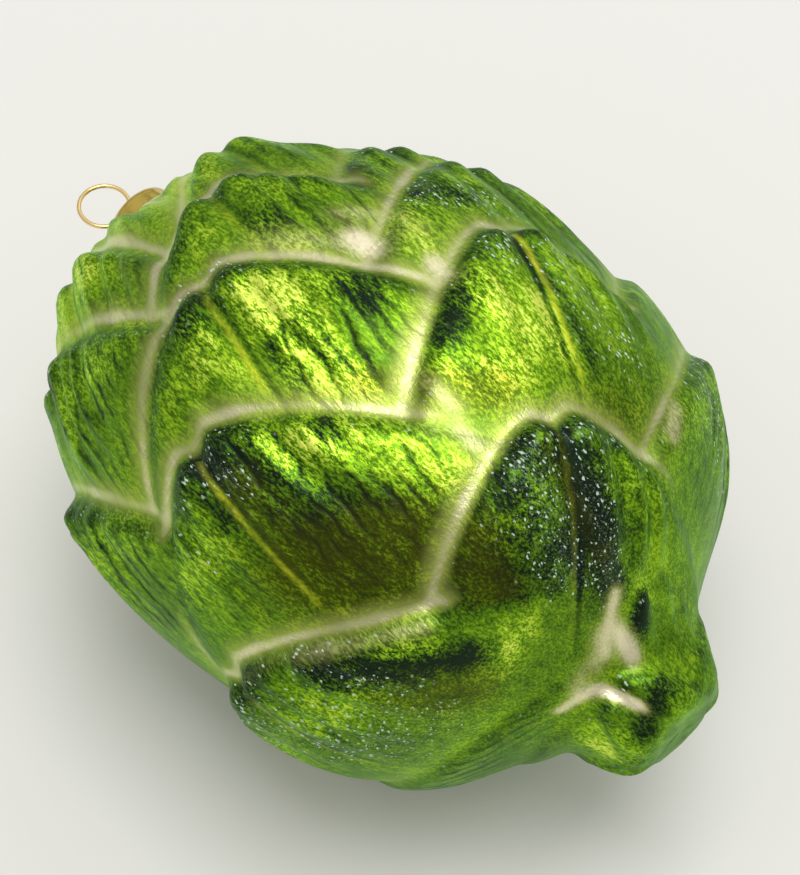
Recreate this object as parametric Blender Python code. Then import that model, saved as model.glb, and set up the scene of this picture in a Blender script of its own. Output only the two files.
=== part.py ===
"""A silvered glass tree ornament blown in the shape of an artichoke, lying on its side.

The glass is one hollow shell. Its skin is a turned line with the bracts raised from it by a
formula. A stamped cap sits over the open neck, and a wire hanger is sprung into the cap.
Local Z runs along the ornament from the end of the stem to the hanger. Azimuth 0 is the side
that shows best when the ornament lies at rest.
"""
import math

import bmesh
import bpy
import numpy as np
from mathutils import Matrix, Vector

MM = 0.001
GAP = 0.3 * MM

# how it lies
STEM_DROP = math.radians(4.0)
ROLL = math.radians(-24.0)
FLAT_DEPTH = 1.0 * MM

# the turned line under the bracts, from the end of the stem to the neck: height, radius
BODY_LINE = (
    (0.0, 0.0), (0.1, 5.6), (1.4, 8.2), (5.0, 9.9), (9.0, 12.0), (13.0, 17.2), (21.0, 27.6),
    (31.0, 34.6), (44.0, 37.4), (57.0, 37.8), (69.0, 36.4), (80.0, 33.0), (89.0, 27.8),
    (96.0, 22.6), (101.0, 16.3), (104.0, 10.0), (105.4, 5.6), (107.0, 4.4), (109.5, 4.2),
)
LINE_STEPS = 24
SLOPE_STEP = 0.2 * MM
GLASS_WALL = 0.8 * MM
NECK_TOP = 109.5 * MM
NECK_WALL = 0.8 * MM
NECK_LENGTH = 6.0 * MM
INNER_START = 2.2 * MM

# bracts, ring by ring from the stem: the length over which they sink away, then for each its
# azimuth, tip height, rise, half width 10 mm below the tip, and lean
STEM_RING = (15.0, (
    (-10.0, 9.8, 2.2, 9.0, 0.0), (35.0, 15.5, 2.6, 7.0, -4.0), (104.0, 11.0, 2.0, 8.0, 4.0),
    (176.0, 13.5, 2.0, 8.0, 4.0), (246.0, 10.5, 2.0, 8.0, 4.0)))
FIRST_RING = (34.0, (
    (-60.0, 44.3, 4.0, 25.0, 15.0), (29.0, 33.4, 4.0, 14.5, 23.0), (97.0, 35.7, 4.0, 19.0, 4.0),
    (166.0, 37.0, 4.0, 18.0, 10.0), (232.0, 39.0, 4.0, 18.0, 10.0)))
SECOND_RING = (36.0, (
    (-74.0, 80.5, 6.0, 18.0, 11.0), (-23.5, 62.9, 4.0, 16.6, 9.0), (53.3, 58.1, 4.0, 12.8, 20.0),
    (104.0, 52.0, 3.6, 16.0, 10.0), (150.0, 60.0, 4.0, 17.0, 10.0), (207.0, 62.0, 4.0, 17.0, 10.0)))
THIRD_RING = (34.0, (
    (-57.0, 93.4, 5.0, 22.0, 7.0), (-0.3, 77.0, 4.0, 15.7, 11.0), (70.0, 73.5, 2.8, 18.0, 12.0),
    (128.0, 75.0, 4.0, 17.0, 10.0), (180.0, 79.0, 4.0, 17.0, 10.0), (236.0, 82.0, 4.0, 17.0, 10.0)))
FOURTH_RING = (28.0, (
    (-32.0, 100.0, 4.8, 12.0, 6.0), (17.0, 89.2, 4.0, 12.6, 8.0), (62.0, 83.0, 1.8, 13.0, 10.0),
    (116.0, 90.0, 3.0, 13.0, 10.0), (150.0, 90.0, 3.6, 13.0, 10.0), (208.0, 92.0, 3.8, 13.0, 10.0),
    (264.0, 97.0, 3.8, 13.0, 10.0)))
CROWN_RING = (22.0, (
    (-18.0, 103.4, 3.4, 7.5, 0.0), (12.0, 101.0, 1.2, 10.0, 0.0), (37.0, 98.2, 3.5, 9.5, 8.0),
    (106.0, 99.0, 2.6, 10.0, 8.0), (178.0, 100.0, 2.8, 10.0, 8.0), (236.0, 101.0, 2.8, 10.0, 8.0),
    (298.0, 102.0, 2.6, 10.0, 8.0)))
NECK_RING = (12.0, (
    (20.0, 104.2, 0.9, 6.0, 0.0), (92.0, 104.4, 1.4, 6.0, 0.0), (164.0, 104.4, 1.5, 6.0, 0.0),
    (236.0, 104.4, 1.5, 6.0, 0.0), (308.0, 104.4, 1.4, 6.0, 0.0)))
RINGS = (STEM_RING, FIRST_RING, SECOND_RING, THIRD_RING, FOURTH_RING, CROWN_RING, NECK_RING)

# the shape of one bract
WIDTH_TAKEN_AT = 10.0 * MM
EDGE_POWER = 1.5
EDGE_SOFT = 2.4 * MM
EDGE_ROUNDNESS = 2.2
PILLOW = 0.25
PILLOW_REACH = 9.0 * MM
NOTCH_DEPTH = 2.0 * MM
NOTCH_WIDTH = 1.8 * MM
KNUCKLE = 0.25
KNUCKLE_ASIDE = 3.4 * MM
KNUCKLE_SIZE = 2.9 * MM
CREASE_DEPTH = 1.2 * MM
CREASE_WIDTH = 1.8 * MM
CREASE_LENGTH = 25.0 * MM

# how finely the glass is divided
AROUND = 76
OUTER_RINGS = 50
INNER_RINGS = 20
INNER_REACH = (2, 1)

# the stamped cap, from the middle of its top
CAP_RADIUS = 5.3 * MM
CAP_WALL = 0.6 * MM
CAP_BEND = 1.2 * MM
CAP_BEND_STEPS = 5
CAP_SKIRT = 4.2 * MM
CAP_FLARE = 0.6 * MM
CAP_FLUTES = 14
FLUTE_DEPTH = 0.22 * MM
CAP_AROUND = 56
CAP_TOP = NECK_TOP + GAP + CAP_WALL

# the wire hanger
WIRE_RADIUS = 0.35 * MM
LOOP_RADIUS = 3.7 * MM
LOOP_SHIFT = 2.7 * MM
LOOP_LIFT = 4.0 * MM
LOOP_START = math.radians(-100.0)
LOOP_END = math.radians(-400.0)
LOOP_POINTS = 30
LEG_SPACING = 2.0 * MM
LEG_SPREAD = 2.6 * MM
LEG_LENGTH = 9.0 * MM
HOLE_RADIUS = 0.75 * MM
HOLE_DEPTH = 4.0 * MM
HOLE_AROUND = 16
WIRE_RESOLUTION = 2


def clear_scene():
    for old in list(bpy.data.objects):
        bpy.data.objects.remove(old, do_unlink=True)


def new_collection(name):
    group = bpy.data.collections.new(name)
    bpy.context.scene.collection.children.link(group)
    return group


def finish_material(name, colour, roughness, metallic):
    material = bpy.data.materials.new(name)
    material.use_nodes = True
    shader = material.node_tree.nodes["Principled BSDF"]
    shader.inputs["Base Color"].default_value = (*colour, 1.0)
    shader.inputs["Roughness"].default_value = roughness
    shader.inputs["Metallic"].default_value = metallic
    return material


def smooth_line(points):
    """A curve through the points: its heights, its radii and the length along it."""
    knots = np.array(points) * MM
    slopes = np.gradient(knots, axis=0)
    curve = []
    for start, end, leave, arrive in zip(knots[:-1], knots[1:], slopes[:-1], slopes[1:]):
        for t in np.linspace(0.0, 1.0, LINE_STEPS, endpoint=False):
            curve.append(start * (1 + 2 * t) * (1 - t) ** 2 + end * t * t * (3 - 2 * t)
                         + leave * t * (1 - t) ** 2 + arrive * t * t * (t - 1))
    curve.append(knots[-1])
    curve = np.array(curve)
    length = np.concatenate([[0.0], np.cumsum(np.linalg.norm(np.diff(curve, axis=0), axis=1))])
    return curve[:, 0], curve[:, 1], length


BODY_Z, BODY_R, BODY_S = smooth_line(BODY_LINE)


def rounded_rim(inside, reach):
    """Rises from 0 at a bract's edge to 1 at a reach inside it, steeply first."""
    return 1.0 - (1.0 - np.clip(inside / reach, 0.0, 1.0)) ** EDGE_ROUNDNESS


def bract_rise(around, along, rise, half_width, lean, length):
    """Height of one bract: around and along are distances from its tip, along towards the stem."""
    across = around * math.cos(lean) + along * math.sin(lean)
    down = along * math.cos(lean) - around * math.sin(lean)
    spread = np.abs(across) / half_width
    edge = WIDTH_TAKEN_AT * spread ** EDGE_POWER + NOTCH_DEPTH * np.exp(-(across / NOTCH_WIDTH) ** 2)
    slope = EDGE_POWER * WIDTH_TAKEN_AT / half_width * spread ** (EDGE_POWER - 1.0)
    inside = (down - edge) / np.sqrt(1.0 + slope ** 2)
    shoulder = (1.0 - PILLOW) * rounded_rim(inside, EDGE_SOFT) + PILLOW * rounded_rim(inside, PILLOW_REACH)
    plate = rise * np.clip(1.0 - np.maximum(down, 0.0) / length, 0.0, 1.0)
    beside, below = np.abs(across) - KNUCKLE_ASIDE, down - KNUCKLE_SIZE
    knuckle = KNUCKLE * np.exp(-(beside ** 2 + below ** 2) / KNUCKLE_SIZE ** 2)
    fade = np.clip(1.0 - down / CREASE_LENGTH, 0.0, 1.0)
    crease = CREASE_DEPTH * fade * np.exp(-(across / CREASE_WIDTH) ** 2)
    return np.maximum(plate * (1.0 + knuckle) - crease, 0.0) * shoulder


def relief(azimuth, station, radius):
    """The height of the bracts above the turned line."""
    height = np.zeros_like(azimuth)
    for length, bracts in RINGS:
        for turn, tip, rise, half_width, lean in bracts:
            away = (azimuth - math.radians(turn) + math.pi) % (2 * math.pi) - math.pi
            along = np.interp(tip * MM, BODY_Z, BODY_S) - station
            one = bract_rise(away * radius, along, rise * MM, half_width * MM, math.radians(lean),
                             length * MM)
            height = np.maximum(height, one)
    return height


def skin(station, azimuth, height):
    """Points at a height above the turned line, in the ornament's own axes."""
    z = np.interp(station, BODY_S, BODY_Z)
    r = np.interp(station, BODY_S, BODY_R)
    ahead = np.minimum(station + SLOPE_STEP, BODY_S[-1])
    behind = np.maximum(station - SLOPE_STEP, 0.0)
    run_z = np.interp(ahead, BODY_S, BODY_Z) - np.interp(behind, BODY_S, BODY_Z)
    run_r = np.interp(ahead, BODY_S, BODY_R) - np.interp(behind, BODY_S, BODY_R)
    scale = np.hypot(run_z, run_r)
    z = z - height * run_r / scale
    r = np.maximum(r + height * run_z / scale, 0.0)
    return np.stack([r * np.cos(azimuth), r * np.sin(azimuth), z], axis=-1)


def lowest_nearby(height, rows, columns):
    """The least height within a few rows and columns of each place."""
    low = height.copy()
    for row in range(-rows, rows + 1):
        moved = height[np.clip(np.arange(len(height)) + row, 0, len(height) - 1)]
        for column in range(-columns, columns + 1):
            low = np.minimum(low, np.roll(moved, column, axis=1))
    return low


def lying_turn():
    return Matrix.Rotation(STEM_DROP - math.pi / 2, 3, "Y") @ Matrix.Rotation(ROLL, 3, "Z")


def glass_points():
    """Rows of points from the stem's end over the outside, round the neck rim and back inside."""
    azimuth = np.arange(AROUND) * 2 * math.pi / AROUND
    outer_at = np.linspace(0.0, BODY_S[-1], OUTER_RINGS)
    station, turn = np.meshgrid(outer_at, azimuth, indexing="ij")
    height = relief(turn, station, np.interp(station, BODY_S, BODY_R))
    outer = skin(station, turn, height)

    inner_at = np.linspace(BODY_S[-1], INNER_START, INNER_RINGS)
    low = lowest_nearby(height, *INNER_REACH)
    rows = np.abs(outer_at[None, :] - inner_at[:, None]).argmin(axis=1)
    wall = np.where(inner_at > BODY_S[-1] - NECK_LENGTH, NECK_WALL, GLASS_WALL)
    station, turn = np.meshgrid(inner_at, azimuth, indexing="ij")
    inner = skin(station, turn, low[rows] - wall[:, None])
    return outer, inner


def turned_mesh(rows, name):
    """One closed skin from a ball: its two poles are the first and last rows."""
    around = rows.shape[1]
    mesh = bpy.data.meshes.new(name)
    ball = bmesh.new()
    bmesh.ops.create_uvsphere(ball, u_segments=around, v_segments=len(rows) - 1, radius=1.0)
    last = len(rows) - 1
    for point in ball.verts:
        row = round(math.acos(max(-1.0, min(1.0, -point.co.z))) / math.pi * last)
        column = round(math.atan2(point.co.y, point.co.x) / (2 * math.pi) * around) % around
        place = rows[row].mean(axis=0) if row in (0, last) else rows[row, column]
        point.co = Vector(place)
    bmesh.ops.triangulate(ball, faces=ball.faces)
    bmesh.ops.recalc_face_normals(ball, faces=ball.faces)
    ball.to_mesh(mesh)
    ball.free()
    mesh.shade_smooth()
    return mesh


def build_glass(group, lift):
    outer, inner = glass_points()
    turn = np.array(lying_turn())
    outer = outer @ turn.T + np.array(lift)
    inner = inner @ turn.T + np.array(lift)
    outer[..., 2] = np.maximum(outer[..., 2], 0.0)
    inner[..., 2] = np.maximum(inner[..., 2], GLASS_WALL)
    body = bpy.data.objects.new("glass_body", turned_mesh(np.concatenate([outer, inner]), "glass_body"))
    body.data.materials.append(finish_material("green_lacquered_glass", (0.16, 0.36, 0.03), 0.3, 0.7))
    group.objects.link(body)
    return body


def cap_bend(thickness):
    """The rounded corner between the cap's top and its skirt, on the skin that lies this deep."""
    reach = CAP_BEND - thickness
    return [(CAP_RADIUS - CAP_BEND + reach * math.sin(turn), -CAP_BEND + reach * math.cos(turn))
            for turn in np.linspace(0.0, math.pi / 2, CAP_BEND_STEPS)]


def cap_rows():
    """The cap's rows from the middle of its top, down the skirt and back inside."""
    brim = CAP_RADIUS + CAP_FLARE
    outside = [(0.0, 0.0), (CAP_RADIUS / 2, 0.0), *cap_bend(0.0), (brim, -CAP_SKIRT)]
    inside = [(0.0, -CAP_WALL), (CAP_RADIUS / 2, -CAP_WALL), *cap_bend(CAP_WALL),
              (brim - CAP_WALL, -CAP_SKIRT)]
    azimuth = np.arange(CAP_AROUND) * 2 * math.pi / CAP_AROUND
    rows = []
    for radius, drop in outside + inside[::-1]:
        ring = radius + FLUTE_DEPTH * max(0.0, -drop - CAP_WALL) / CAP_SKIRT * np.cos(azimuth * CAP_FLUTES)
        rows.append(np.stack([ring * np.cos(azimuth), ring * np.sin(azimuth),
                              np.full(CAP_AROUND, CAP_TOP + drop)], axis=-1))
    return np.array(rows)


def build_cap(group, cutters, place):
    cap = bpy.data.objects.new("cap", turned_mesh(cap_rows(), "cap"))
    cap.matrix_world = place
    cap.data.materials.append(finish_material("stamped_gold_metal", (0.85, 0.48, 0.12), 0.3, 1.0))
    group.objects.link(cap)
    for side in (-1, 1):
        mesh = bpy.data.meshes.new("wire_hole")
        drill = bmesh.new()
        bmesh.ops.create_cone(drill, cap_ends=True, segments=HOLE_AROUND, radius1=HOLE_RADIUS,
                              radius2=HOLE_RADIUS, depth=HOLE_DEPTH)
        drill.to_mesh(mesh)
        drill.free()
        cutter = bpy.data.objects.new(f"wire_hole_{side + 2}", mesh)
        cutter.matrix_world = place @ loop_turn() @ Matrix.Translation((0.0, side * LEG_SPACING, CAP_TOP))
        cutter.hide_render = True
        cutter.display_type = "WIRE"
        cutters.objects.link(cutter)
        cut = cap.modifiers.new(f"wire_hole_{side + 2}", "BOOLEAN")
        cut.operation = "DIFFERENCE"
        cut.object = cutter
    return cap


def loop_turn():
    """The hanger's loop lies level: its plane holds the axis and the level direction across it."""
    return Matrix.Rotation(-ROLL, 4, "Z")


def hanger_route():
    """One wire: up the first leg, round the loop and down the second leg."""
    middle = Vector((0.0, -LOOP_SHIFT, CAP_TOP + LOOP_LIFT))
    foot = CAP_TOP - LEG_LENGTH
    first = [Vector((0.0, -LEG_SPREAD, foot)), Vector((0.0, -LEG_SPACING, foot + LEG_LENGTH / 2)),
             Vector((0.0, -LEG_SPACING, CAP_TOP - CAP_WALL * 2)), Vector((0.0, -LEG_SPACING, CAP_TOP + GAP))]
    loop = []
    for turn in np.linspace(LOOP_START, LOOP_END, LOOP_POINTS):
        loop.append(middle + LOOP_RADIUS * Vector((0.0, math.cos(turn), math.sin(turn))))
    second = [Vector((0.0, -point.y, point.z)) for point in reversed(first)]
    return first + loop + second


def build_hanger(group, place):
    wire = bpy.data.curves.new("hanger", "CURVE")
    wire.dimensions = "3D"
    wire.bevel_depth = WIRE_RADIUS
    wire.bevel_resolution = WIRE_RESOLUTION
    wire.use_fill_caps = True
    route = hanger_route()
    spline = wire.splines.new("POLY")
    spline.points.add(len(route) - 1)
    for point, spot in zip(spline.points, route):
        point.co = (*spot, 1.0)
    hanger = bpy.data.objects.new("hanger", wire)
    hanger.matrix_world = place @ loop_turn()
    hanger.data.materials.append(finish_material("gold_wire", (0.86, 0.62, 0.25), 0.25, 1.0))
    group.objects.link(hanger)
    return hanger


def stem_end_place():
    """Where the stem's end sits, so that the lowest glass is cut flat and the box is centred."""
    turn = lying_turn()
    outer, _ = glass_points()
    glass = outer.reshape(-1, 3) @ np.array(turn).T
    wire = [turn @ (loop_turn().to_3x3() @ point) for point in hanger_route()]
    least_x = min(point.x for point in wire) - WIRE_RADIUS
    most_x = glass[:, 0].max()
    across = (glass[:, 1].max() + glass[:, 1].min()) / 2
    return Vector((-(least_x + most_x) / 2, -across, -glass[:, 2].min() - FLAT_DEPTH))


def main():
    clear_scene()
    group = new_collection("glass_artichoke_ornament")
    cutters = new_collection("cutters")
    lift = stem_end_place()
    place = Matrix.Translation(lift) @ lying_turn().to_4x4()
    build_glass(group, lift)
    build_cap(group, cutters, place)
    build_hanger(group, place)


main()
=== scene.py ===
"""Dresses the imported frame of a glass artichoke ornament.

Fine blown glass with its lacquer, silvering and frost, a crinkled cap and a drawn wire hanger,
lying on a pale floor under soft light. Lengths are in metres, like the frame.
"""

import math

import bmesh
import bpy
import numpy as np
from bpy.props import FloatProperty, FloatVectorProperty, IntProperty, PointerProperty
from bpy.types import Operator, Panel, PropertyGroup
from mathutils import Matrix, Vector


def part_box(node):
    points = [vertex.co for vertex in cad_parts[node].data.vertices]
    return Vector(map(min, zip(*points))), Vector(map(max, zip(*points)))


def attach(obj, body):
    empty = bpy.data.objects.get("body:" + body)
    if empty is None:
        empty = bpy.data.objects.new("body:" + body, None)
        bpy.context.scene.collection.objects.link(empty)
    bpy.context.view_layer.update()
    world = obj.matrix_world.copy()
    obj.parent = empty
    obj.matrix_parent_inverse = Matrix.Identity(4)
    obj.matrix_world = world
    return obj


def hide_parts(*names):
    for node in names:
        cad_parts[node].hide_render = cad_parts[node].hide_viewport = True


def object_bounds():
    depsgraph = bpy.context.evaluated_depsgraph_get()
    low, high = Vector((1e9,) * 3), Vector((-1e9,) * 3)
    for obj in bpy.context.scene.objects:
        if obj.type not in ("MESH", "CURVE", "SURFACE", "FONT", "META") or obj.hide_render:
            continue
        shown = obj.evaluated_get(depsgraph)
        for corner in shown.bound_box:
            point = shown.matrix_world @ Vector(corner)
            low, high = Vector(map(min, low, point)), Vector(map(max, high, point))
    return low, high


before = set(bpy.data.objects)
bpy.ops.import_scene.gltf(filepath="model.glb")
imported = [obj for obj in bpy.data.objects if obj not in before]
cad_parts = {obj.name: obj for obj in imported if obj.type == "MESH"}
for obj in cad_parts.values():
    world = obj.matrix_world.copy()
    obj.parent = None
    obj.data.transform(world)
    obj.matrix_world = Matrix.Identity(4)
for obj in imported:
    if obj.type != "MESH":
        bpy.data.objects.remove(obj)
CAD_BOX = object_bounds()

bl_info = {
    "name": "Glass Artichoke Ornament",
    "version": (1, 0, 0),
    "blender": (4, 5, 0),
    "location": "View3D > Sidebar > Ornament",
    "description": "Blown glass, cap, wire hanger and stage of an artichoke tree ornament",
    "category": "Object",
}

MM = 0.001
BODY = "root"

# the part's own sizes, as the frame was built from them
STEM_DROP = math.radians(4.0)
ROLL = math.radians(-24.0)
BODY_LINE = (
    (0.0, 0.0), (0.1, 5.6), (1.4, 8.2), (5.0, 9.9), (9.0, 12.0), (13.0, 17.2), (21.0, 27.6),
    (31.0, 34.6), (44.0, 37.4), (57.0, 37.8), (69.0, 36.4), (80.0, 33.0), (89.0, 27.8),
    (96.0, 22.6), (101.0, 16.3), (104.0, 10.0), (105.4, 5.6), (107.0, 4.4), (109.5, 4.2),
)
LINE_STEPS = 24
SLOPE_STEP = 0.2 * MM
NECK_TOP = 109.5 * MM
INNER_START = 2.2 * MM
NECK_DEPTH = 14.0 * MM
SKIN_TRIM = 0.1 * MM
GAP = 0.3 * MM

# each ring: the length over which its bracts sink away, and for each bract the azimuth in degrees and
# the height of its tip, how far it stands out, its half width 10 mm below the tip, all in mm, and its
# lean in degrees
STEM_RING = (15.0, ((-10.0, 9.8, 2.2, 9.0, 0.0), (35.0, 15.5, 2.6, 7.0, -4.0),
                    (104.0, 11.0, 2.0, 8.0, 4.0), (176.0, 13.5, 2.0, 8.0, 4.0),
                    (246.0, 10.5, 2.0, 8.0, 4.0)))
FIRST_RING = (34.0, ((-60.0, 44.3, 4.0, 25.0, 15.0), (29.0, 33.4, 4.0, 14.5, 23.0),
                     (97.0, 35.7, 4.0, 19.0, 4.0), (166.0, 37.0, 4.0, 18.0, 10.0),
                     (232.0, 39.0, 4.0, 18.0, 10.0)))
SECOND_RING = (36.0, ((-74.0, 80.5, 6.0, 18.0, 11.0), (-23.5, 62.9, 4.0, 16.6, 9.0),
                      (53.3, 58.1, 4.0, 12.8, 20.0), (104.0, 52.0, 3.6, 16.0, 10.0),
                      (150.0, 60.0, 4.0, 17.0, 10.0), (207.0, 62.0, 4.0, 17.0, 10.0)))
THIRD_RING = (34.0, ((-57.0, 93.4, 5.0, 22.0, 7.0), (-0.3, 77.0, 4.0, 15.7, 11.0),
                     (70.0, 73.5, 2.8, 18.0, 12.0), (128.0, 75.0, 4.0, 17.0, 10.0),
                     (180.0, 79.0, 4.0, 17.0, 10.0), (236.0, 82.0, 4.0, 17.0, 10.0)))
FOURTH_RING = (28.0, ((-32.0, 100.0, 4.8, 12.0, 6.0), (17.0, 89.2, 4.0, 12.6, 8.0),
                      (62.0, 83.0, 1.8, 13.0, 10.0), (116.0, 90.0, 3.0, 13.0, 10.0),
                      (150.0, 90.0, 3.6, 13.0, 10.0), (208.0, 92.0, 3.8, 13.0, 10.0),
                      (264.0, 97.0, 3.8, 13.0, 10.0)))
CROWN_RING = (22.0, ((-18.0, 103.4, 3.4, 7.5, 0.0), (12.0, 101.0, 1.2, 10.0, 0.0),
                     (37.0, 98.2, 3.5, 9.5, 8.0), (106.0, 99.0, 2.6, 10.0, 8.0),
                     (178.0, 100.0, 2.8, 10.0, 8.0), (236.0, 101.0, 2.8, 10.0, 8.0),
                     (298.0, 102.0, 2.6, 10.0, 8.0)))
NECK_RING = (12.0, ((20.0, 104.2, 0.9, 6.0, 0.0), (92.0, 104.4, 1.4, 6.0, 0.0),
                    (164.0, 104.4, 1.5, 6.0, 0.0), (236.0, 104.4, 1.5, 6.0, 0.0),
                    (308.0, 104.4, 1.4, 6.0, 0.0)))
RINGS = (STEM_RING, FIRST_RING, SECOND_RING, THIRD_RING, FOURTH_RING, CROWN_RING, NECK_RING)

WIDTH_TAKEN_AT = 10.0 * MM
EDGE_POWER = 1.5
EDGE_SOFT = 2.4 * MM
EDGE_ROUNDNESS = 2.2
PILLOW = 0.25
PILLOW_REACH = 9.0 * MM
NOTCH_DEPTH = 2.0 * MM
NOTCH_WIDTH = 1.8 * MM
KNUCKLE = 0.25
KNUCKLE_ASIDE = 3.4 * MM
KNUCKLE_SIZE = 2.9 * MM
CREASE_DEPTH = 1.2 * MM
CREASE_LENGTH = 25.0 * MM

CAP_RADIUS = 5.3 * MM
CAP_WALL = 0.6 * MM
CAP_BEND = 1.2 * MM
CAP_SKIRT = 4.2 * MM
CAP_FLARE = 0.6 * MM
CAP_FLUTES = 14
FLUTE_DEPTH = 0.22 * MM
CAP_TOP = NECK_TOP + GAP + CAP_WALL
WIRE_RADIUS = 0.335 * MM
LOOP_RADIUS = 3.7 * MM
LOOP_SHIFT = 2.7 * MM
LOOP_LIFT = 4.0 * MM
LOOP_START = math.radians(-100.0)
LOOP_END = math.radians(-400.0)
LEG_SPACING = 2.0 * MM
LEG_SPREAD = 2.6 * MM
LEG_LENGTH = 9.0 * MM

# strokes: azimuth in degrees and height in mm of both ends, half width in mm, and strength. The dark
# and olive strokes are airbrushed coats, the frost ones lay frosted grains, the bright ones are painted
# highlights, and the silver ones are bare silvering, two of them with a painted highlight. Each stays on
# the bract that it starts on, apart from the silver ones.
DARK_STROKES = (
    (-24, 59, -18, 52, 2.6, 1.0), (-28, 56, -29, 51, 0.9, 0.9), (-17, 55, -15, 47, 1.4, 0.8),
    (-4, 51, -5, 47, 0.9, 0.8), (-18, 49, -18, 43, 2.2, 0.6), (-12, 43, -6, 35, 3.0, 0.5),
    (25, 27, 20, 16, 2.6, 1.0), (16, 30, 10, 29, 2.0, 1.0), (0, 25, -4, 22, 2.0, 0.9),
    (-7, 28, -10, 25, 2.0, 0.5), (-42, 33, -22, 21, 2.1, 1.25), (32, 51, 24, 48, 1.9, 1.0),
    (50, 52, 48, 43, 0.6, 0.9), (48, 43, 44, 34, 0.7, 0.8), (18, 61, 18, 57, 1.6, 0.8),
    (-9, 75, -7, 71, 1.5, 0.6), (45, 79, 41, 74, 1.6, 0.8), (18, 78, 18, 75, 1.6, 0.6),
    (46, 68, 53, 64, 2.0, 0.6), (30, 13, 24, 11, 1.4, 1.0), (-50, 90, -52, 93, 1.6, 1.0),
    (-5, 77, -4, 75, 1.5, 0.9), (4, 76, 6, 74, 1.5, 0.9), (17, 88, 18, 86, 1.3, 0.8),
    (27, 88, 28, 86, 1.3, 0.7), (28, 24, 32, 16, 2.0, 0.4), (14, 22, 14, 17, 2.0, 0.7),
    (16, 4, -22, 2, 1.3, 0.9), (18, 31, -2, 25, 4.0, 0.5), (-20, 55, -14, 38, 6.0, 0.3),
    (12, 28, 6, 20, 3.0, 0.5), (6, 61, 7, 54, 2.0, 0.5), (0, 62, -2, 55, 0.9, 0.6),
    (-21, 54, -22, 39, 0.9, 0.6), (-15, 46, -18, 37, 0.9, 0.5), (-7, 43, -9, 32, 0.9, 0.5),
)
OLIVE_STROKES = (
    (-26, 42, -9, 32, 6.0, 0.9), (-28, 34, -16, 29, 4.5, 0.9), (-22, 52, -26, 37, 4.0, 0.7),
    (0, 29, -6, 24, 5.0, 0.8), (14, 44, 23, 39, 2.6, 1.0), (7, 50, 10, 48, 1.8, 0.9),
    (-42, 26, -32, 19, 4.0, 0.6), (22, 30, 20, 19, 2.0, 0.5), (-30, 45, -20, 30, 8.0, 0.5),
    (42, 27, 36, 16, 5.0, 0.45),
)
# painted highlights: brighter lacquer laid where reflections of the lights fall on the bracts
HIGHLIGHT_STROKES = (
    (-12, 55, -10, 49, 1.0, 0.9), (-14, 58, -14, 54, 0.9, 0.7), (-6, 52, -6, 46, 1.1, 1.0),
    (0, 47, 5, 36, 4.0, 0.6), (6, 39, 4, 34, 2.4, 0.6), (5, 69, 6, 64, 3.4, 1.4),
    (0, 68, -2, 64, 0.9, 1.0), (-7, 73, -7, 68, 0.9, 0.9), (3, 59, 2, 53, 1.8, 0.9),
    (15, 63, 24, 54, 3.0, 0.3), (-7, 69, -8, 62, 0.8, 0.7), (0, 62, -2, 57, 0.9, 0.8),
    (34, 49, 36, 42, 4.0, 0.8), (20, 46, 30, 39, 3.0, 0.8), (43, 45, 40, 38, 2.0, 1.0),
    (37, 66, 36, 60, 2.6, 0.8), (16, 88, 16, 82, 2.2, 0.7), (15, 76, 18, 70, 2.2, 0.9),
    (23, 32, 24, 30, 0.9, 0.9), (-13, 18, 4, 13, 4.0, 0.7), (32, 14, 32, 12, 0.8, 0.8),
    (-56, 7, -62, 3, 2.0, 0.6), (-32, 30, -26, 25, 1.4, 0.8), (-20, 87, -18, 79, 2.0, 0.4),
    (5, 71, 6, 67, 1.4, 0.9), (2, 61, 0, 54, 1.0, 0.9), (8, 60, 6, 49, 1.3, 1.1),
    (-10, 71, -12, 66, 1.1, 0.6), (-12, 55, -12, 50, 1.0, 1.0), (-7, 51, -7, 47, 1.1, 1.0),
)
FROST_STROKES = (
    (16, 29, 11, 20, 5.0, 0.9), (26, 25, 20, 16, 3.0, 0.9), (-68, 39, -58, 23, 6.0, 1.0),
    (-50, 32, -48, 20, 5.0, 0.7), (-30, 61, -38, 58, 1.8, 0.8), (-24, 58, -21, 53, 2.2, 1.0),
    (44, 54, 44, 51, 2.6, 0.8), (52, 48, 54, 35, 4.0, 0.75), (46, 67, 60, 61, 4.0, 0.85),
    (78, 29, 90, 21, 5.0, 1.0), (-5, 77, -4, 75, 1.6, 1.0), (4, 76, 6, 72, 1.6, 1.0),
    (18, 88, 20, 87, 1.4, 0.9), (30, 31, 47, 25, 2.2, 1.0), (-42, 35, -36, 24, 2.0, 0.8),
    (31, 53, 24, 48, 1.8, 0.9), (-40, 53, -40, 50, 2.0, 0.5), (-50, 90, -52, 93, 1.0, 0.7),
)
SILVER_AND_HIGHLIGHT_STROKES = (
    (13, 38, 13, 35, 1.8, 0.65), (20, 15, 2, 11, 1.4, 0.9), (14, 12, 13, 9, 1.8, 0.9),
    (-62, 43, -42, 37, 0.8, 0.6), (-42, 36, -20, 26, 0.9, 0.8), (8, 13, -4, 11, 2.2, 0.68),
    # the two strokes from (-14, 9) on the next line paint the stem's chevron ridge: bare silver with a
    # painted highlight along it
    (0, 12, -20, 11, 1.8, 0.62), (-14, 9, -37, 11, 0.9, 1.2), (-14, 9, -6, 4, 0.9, 1.1),
    (27, 67, 28, 64, 2.4, 1.0), (34, 57, 33, 55, 2.4, 0.9), (13, 75, 25, 67, 3.2, 0.55),
    (10, 41, 14, 36, 2.6, 0.35), (15, 46, 15, 40, 1.6, 0.6), (38, 66, 28, 72, 1.6, 0.6),
    (-12, 90, -14, 84, 2.2, 0.35), (62, 27, 56, 24, 1.5, 0.8), (26, 66, 38, 62, 3.0, 0.45),
)
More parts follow.
